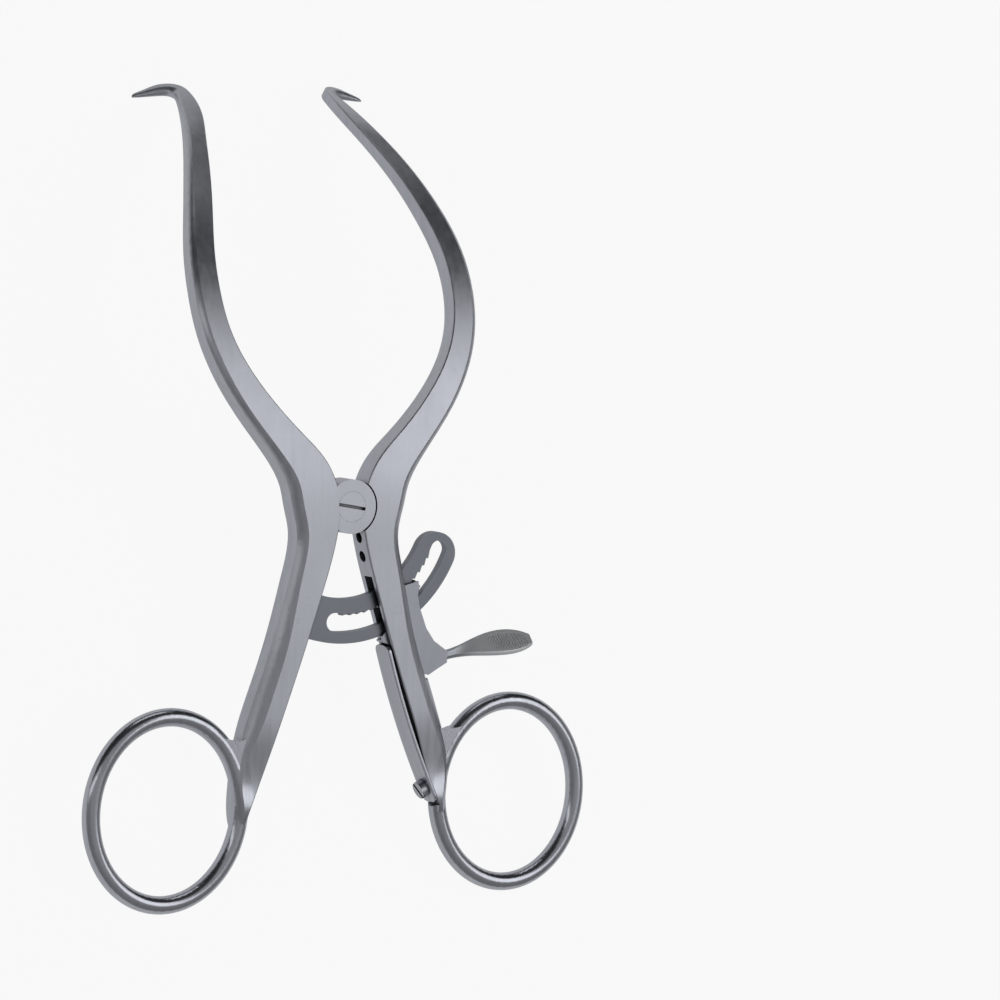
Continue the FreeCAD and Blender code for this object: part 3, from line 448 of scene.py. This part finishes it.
def steel(name, base, edge, rough, turn_z=0.0, fineness=900.0, stretch=0.03,
          polished=None, frosted_sheen=None):
    """Brushed steel. The tone is a weighted sum of the fine and the broad
    lines, and the roughness grows from the lowest to the highest value of
    rough with a weighted sum of the tone and the clouds. edge is a lighter
    colour mixed in near edges as a painted highlight. turn_z turns the
    brushing lines. polished is a function that returns a mask of the places
    that are mirror bright, and blasted one of those that are frosted, where
    the colour is also lightened as a painted sheen."""
    material, tree, out = new_material(name)
    place = node(tree, "ShaderNodeTexCoord").outputs["Object"]
    lines_place = node(tree, "ShaderNodeMapping")
    feed(tree, lines_place.inputs["Vector"], place)
    lines_place.inputs["Rotation"].default_value = (-TILT, 0, turn_z)
    lines = placed_group(tree, brushing, Place=lines_place.outputs[0],
                         Fineness=fineness, Stretch=stretch)
    cloud = placed_group(tree, clouds, Place=place)
    edge_highlight_mask = placed_group(tree, edges).outputs["Edge"]
    tone = maths(tree, "ADD", maths(tree, "MULTIPLY", lines.outputs["Lines"], FINE_SHARE),
                 maths(tree, "MULTIPLY", lines.outputs["Broad"], BROAD_SHARE))
    grain = tuple(c * GRAIN_DARK for c in base)
    light = stretched(tree, tone, NOISE_LOW, NOISE_HIGH)
    shade = mix_colour(tree, light, grain + (1,), base + (1,))
    # Painted highlight: near edges the colour turns toward the lighter edge colour.
    shade = mix_colour(tree, maths(tree, "MULTIPLY", edge_highlight_mask, EDGE_HIGHLIGHT_SHARE), shade, edge + (1,))
    # Painted shade: where little of the room is seen, the colour turns near black.
    clear = placed_group(tree, recesses, Darkest=RECESS_SHADE_DARKEST).outputs["Open"]
    shade = mix_colour(tree, clear, RECESS_SHADE, shade)
    gloss = maths(tree, "ADD", maths(tree, "MULTIPLY", tone, GLOSS_LINES),
                  maths(tree, "MULTIPLY", cloud.outputs["Cloud"], GLOSS_CLOUD))
    roughness = stretched(tree, gloss, NOISE_LOW, NOISE_HIGH, rough[0], rough[1])
    height = tone
    if frosted_sheen:
        mask = frosted_sheen(tree, place)
        # Painted sheen: the tab's colour is lightened, beside its real rougher frost.
        shade = mix_colour(tree, mask, shade, TAB_PAINTED_SHEEN)
        roughness = mix_value(tree, mask, roughness, FROST_ROUGH)
    if polished:
        mask = polished(tree, place)
        roughness = mix_value(tree, mask, roughness, MIRROR_ROUGH)
        calm = maths(tree, "SUBTRACT", 1.0, maths(tree, "MULTIPLY", mask, MIRROR_CALM))
        height = maths(tree, "MULTIPLY", tone, calm)
    bump = node(tree, "ShaderNodeBump")
    bump.inputs["Strength"].default_value = RELIEF
    bump.inputs["Distance"].default_value = RELIEF_DEEP
    feed(tree, bump.inputs["Height"], height)
    shader = node(tree, "ShaderNodeBsdfPrincipled")
    shader.inputs["Metallic"].default_value = 1.0
    feed(tree, shader.inputs["Base Color"], shade)
    feed(tree, shader.inputs["Roughness"], roughness)
    feed(tree, shader.inputs["Normal"], bump.outputs[0])
    tree.links.new(shader.outputs[0], out.inputs[0])
    return material


print("steel ready")

# %% [markdown]
# The finger rings are buffed brighter than the shanks, and the finger tab is
# frosted and painted lighter as a painted sheen. A ring's mask is an oval about
# its centre, in the floor frame's metres: the lean of the instrument shortens
# the oval along Y.

# %% Where the finish changes
TAB_FROM, TAB_FULL = 0.0255, 0.033
RING_X, RING_Y, RING_HALF_X, RING_HALF_Y = 0.0412, 0.0610, 0.0173, 0.0189
OVAL_OUT, OVAL_IN = 1.16, 1.10


def tab_mask(tree, place):
    """One on the finger tab, none on the cheek: the side coordinate alone
    tells them apart."""
    split = node(tree, "ShaderNodeSeparateXYZ")
    feed(tree, split.inputs[0], place)
    return stretched(tree, split.outputs[0], TAB_FROM, TAB_FULL)


def ring_mask(tree, place):
    """One on the rings, none on the shanks: an oval distance from the ring's
    centre on either side, using the size of x."""
    split = node(tree, "ShaderNodeSeparateXYZ")
    feed(tree, split.inputs[0], place)
    side = maths(tree, "ABSOLUTE", split.outputs[0])
    across = maths(tree, "DIVIDE", maths(tree, "SUBTRACT", side, RING_X), RING_HALF_X)
    along = maths(tree, "DIVIDE", maths(tree, "ADD", split.outputs[1], RING_Y), RING_HALF_Y)
    squares = maths(tree, "ADD", maths(tree, "MULTIPLY", across, across),
                    maths(tree, "MULTIPLY", along, along))
    return stretched(tree, maths(tree, "SQRT", squares), OVAL_OUT, OVAL_IN)


print("masks ready")

# %% [markdown]
# Each finish has a base colour, a lighter edge colour painted on as a
# highlight, and its lowest and highest roughness. The rack is the darkest,
# the strip of the spring the smoothest.

# %% The finishes on the nodes
arm_steel = steel("arm_satin", (0.595, 0.615, 0.675), (0.79, 0.815, 0.87), (0.30, 0.42),
                  polished=ring_mask)
rack_steel = steel("rack_satin", (0.275, 0.295, 0.33), (0.49, 0.515, 0.56), (0.34, 0.46),
                   turn_z=0.9)
# The lever's finger tab gets a rougher frost and a painted sheen.
lever_steel = steel("lever_satin", (0.49, 0.515, 0.565), (0.73, 0.755, 0.81), (0.34, 0.46),
                    turn_z=0.3, frosted_sheen=tab_mask)
# The ribs' very light base colour is a painted sheen for the light they catch.
ridge_sheen_steel = steel("ridge_painted_sheen", (0.90, 0.92, 0.94), (0.94, 0.95, 0.96), (0.50, 0.60),
                    turn_z=0.3)
screw_steel = steel("turned_screw", (0.575, 0.595, 0.65), (0.81, 0.835, 0.89), (0.28, 0.40),
                    turn_z=0.7, stretch=0.06)
spring_finish = steel("rolled_spring", (0.575, 0.595, 0.655), (0.83, 0.855, 0.91), (0.20, 0.30),
                      turn_z=-0.4)
pin_steel = steel("ground_pin", (0.555, 0.575, 0.63), (0.77, 0.795, 0.85), (0.26, 0.38),
                  fineness=1100.0)

FINISH = {
    "right_arm": arm_steel,
    "left_arm": arm_steel,
    "pivot_screw": screw_steel,
    "ratchet_rack": rack_steel,
    "rack_rivets": pin_steel,
    "release_pawl": lever_steel,
    "pawl_pin": pin_steel,
    "leaf_spring": spring_finish,
    "spring_screw": screw_steel,
}
for name, material in FINISH.items():
    for holder in nodes[name].material_slots:
        holder.material = material
print("finished", len(FINISH), "nodes")

# %% [markdown]
# ## Leaf spring
# The real spring is a rolled strip with soft edges and rounded corners. It is
# screwed to the arm at its lower end and presses the lever's tail at its upper
# end. A rounded rectangle is carried along a line that is straight on the seat
# and then follows a large arc. At both ends the width narrows by the corner
# radius on either side.

# %% Surface helpers


def surface(name, grid, material):
    """A mesh from a grid of points, rows along the piece and columns round
    its section, with one flat face over each end."""
    rows, columns = grid.shape[:2]
    points = to_floor(grid.reshape(-1, 3))
    a = np.arange(rows - 1)[:, None] * columns + np.arange(columns)[None, :]
    step = np.roll(np.arange(columns), -1)[None, :] + np.arange(rows - 1)[:, None] * columns
    faces = np.stack([a, step, step + columns, a + columns], axis=-1)
    faces = [tuple(f) for f in faces.reshape(-1, 4).tolist()]
    faces.append(tuple(range(columns))[::-1])
    faces.append(tuple(range((rows - 1) * columns, rows * columns)))
    mesh = bpy.data.meshes.new(name)
    mesh.from_pydata(points.tolist(), [], faces)
    mesh.materials.append(material)
    for polygon in mesh.polygons:
        polygon.use_smooth = True
    piece = bpy.data.objects.new(name, mesh)
    bpy.context.collection.objects.link(piece)
    return piece


def rounded_box(half_a, half_b, radius, steps=5):
    """A rounded rectangle: four quarter circles about its inner corners."""
    angle = np.linspace(0, math.pi / 2, steps)
    corners = []
    for k, (sign_a, sign_b) in enumerate(((1, 1), (-1, 1), (-1, -1), (1, -1))):
        turned = angle + k * math.pi / 2
        corners.append(np.stack([
            sign_a * (half_a - radius) + radius * np.cos(turned),
            sign_b * (half_b - radius) + radius * np.sin(turned)]))
    return np.concatenate(corners, axis=1)


print("surface helpers ready")

# %% [markdown]
# Sizes are in design millimetres: the middle of the seat, the lean of the
# strip in degrees, its section, its two lengths, the radius of its arc and
# that of its soft edges. The bend starts a little above the seat's middle.

# %% Sizes of the strip
SPRING_X, SPRING_Y, SPRING_ANGLE = 21.55, -60.0, 24.4
SPRING_THICK, SPRING_WIDE, SPRING_ROUND = 0.9, 5.5, 1.6
SEAT_LONG, FREE_LONG, BOW = 7.0, 29.2, 190.0
SOFT_EDGE = 0.22
END_ROWS, MIDDLE_ROWS = 9, 70
total = SEAT_LONG + FREE_LONG
print("strip", total, "mm long")

# %% [markdown]
# Rows stand close together at the two ends. There the half width grows as a
# quarter circle: the root of the radius squared minus the square of what is
# missing to the radius.

# %% Rows along the strip
length = np.concatenate([
    np.linspace(0, SPRING_ROUND, END_ROWS),
    np.linspace(SPRING_ROUND, total - SPRING_ROUND, MIDDLE_ROWS)[1:-1],
    np.linspace(total - SPRING_ROUND, total, END_ROWS)])
from_end = np.minimum(length, total - length)
half_width = SPRING_WIDE / 2 - SPRING_ROUND + np.sqrt(
    np.clip(SPRING_ROUND ** 2 - np.clip(SPRING_ROUND - from_end, 0, None) ** 2, 0, None))
half_width = np.where(from_end > SPRING_ROUND, SPRING_WIDE / 2, half_width)
print("rows", len(length), "widest", 2 * half_width.max())

# %% [markdown]
# The middle line is straight on the seat. Past it, the angle is the length
# divided by the radius, and the point is the cosine and sine of that angle.

# %% Middle line
swing = np.clip(length - SEAT_LONG, 0, None) / BOW
middle = BOW + SPRING_THICK / 2
line = np.stack([BOW - middle * np.cos(swing),
                 np.minimum(length, SEAT_LONG) - SEAT_LONG / 2 + middle * np.sin(swing)], -1)
normal = np.stack([-np.cos(swing), np.sin(swing)], -1)
print("end of the middle line", np.round(line[-1], 2))

# %% [markdown]
# The rounded section is laid on each row, its corners keep their radius while
# the width changes, and the strip bends from the arm to the lever.

# %% The strip
thick_off, wide_off = rounded_box(SPRING_THICK / 2, 1.0, SOFT_EDGE)
wide_sign = np.sign(wide_off)
wide_in = 1.0 - np.abs(wide_off)
depth = half_width[:, None] * wide_sign[None, :] - wide_sign[None, :] * wide_in[None, :]
flat = line[:, None, :] + normal[:, None, :] * thick_off[None, :, None]
lean = math.radians(SPRING_ANGLE)
strip = np.stack([
    SPRING_X + flat[..., 0] * math.cos(lean) - flat[..., 1] * math.sin(lean),
    SPRING_Y + flat[..., 0] * math.sin(lean) + flat[..., 1] * math.cos(lean), depth], -1)
spring = surface("spring_strip", strip, spring_finish)
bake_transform(spring)
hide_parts("leaf_spring")

# %% [markdown]
# ## Grip ridges on the finger tab
# The tab is cut across near its tip so that a finger doesn't slip. Each ridge
# is a low rib with an oval section that lies across the tab's front face, half
# sunk into it, and runs out at both ends. The table holds the tab's middle
# line, its width, thickness and twist at five places.

# %% Ridges
TAB_X = np.array([29.3, 33.4, 38.4, 42.6, 45.6])
TAB_Y = np.array([-31.2, -30.5, -30.0, -29.8, -29.7])
TAB_Z = np.array([1.0, 1.2, 1.3, 1.3, 1.3])
TAB_WIDE = np.array([2.9, 4.7, 6.1, 5.2, 2.6])
TAB_THICK = np.array([1.35, 1.2, 1.15, 1.1, 0.9])
TAB_TURN = np.radians([24.0, 38.0, 43.0, 43.0, 43.0])
RIDGE_FIRST, RIDGE_LAST, RIDGE_COUNT = 35.6, 44.4, 15
RIDGE_HIGH, RIDGE_HALF, RIDGE_SUNK, RIDGE_REACH = 0.17, 0.2, 0.02, 0.40
RIDGE_ROWS, RIDGE_SIDES = 15, 12


def ridge(x):
    """A rib across the tab at x: the middle follows the front face, and its
    height is the root of one minus the fourth power of the place along it, so
    that it falls to nothing at both ends."""
    table = (TAB_Y, TAB_Z, TAB_WIDE, TAB_THICK, TAB_TURN)
    y, z, wide, thick, turn = [np.interp(x, TAB_X, values) for values in table]
    across = np.array([0.0, -math.cos(turn), math.sin(turn)])
    front = np.array([0.0, math.sin(turn), math.cos(turn)])
    s = np.linspace(-1, 1, RIDGE_ROWS)
    t = np.linspace(0, 2 * math.pi, RIDGE_SIDES, endpoint=False)
    rise = RIDGE_HIGH * np.sqrt(np.clip(1 - s ** 4, 0, 1))
    spot = np.array([x, y, z]) + across * (s[:, None] * RIDGE_REACH * wide)
    spot = spot + front * (thick / 2 - RIDGE_SUNK)
    return (spot[:, None, :] + np.array([1.0, 0, 0]) * (np.cos(t)[None, :, None] * RIDGE_HALF)
            + front * (np.sin(t)[None, :, None] * rise[:, None, None]))


for count, x in enumerate(np.linspace(RIDGE_FIRST, RIDGE_LAST, RIDGE_COUNT)):
    # Each rib carries the painted sheen colour.
    rib = surface("tab_ridge_%02d" % (count + 1), ridge(x), ridge_sheen_steel)
    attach(rib, "lever")
print("ridges", RIDGE_COUNT)

# %% [markdown]
# ## Finish

# %% Finish
bpy.context.scene.view_settings.view_transform = "Standard"
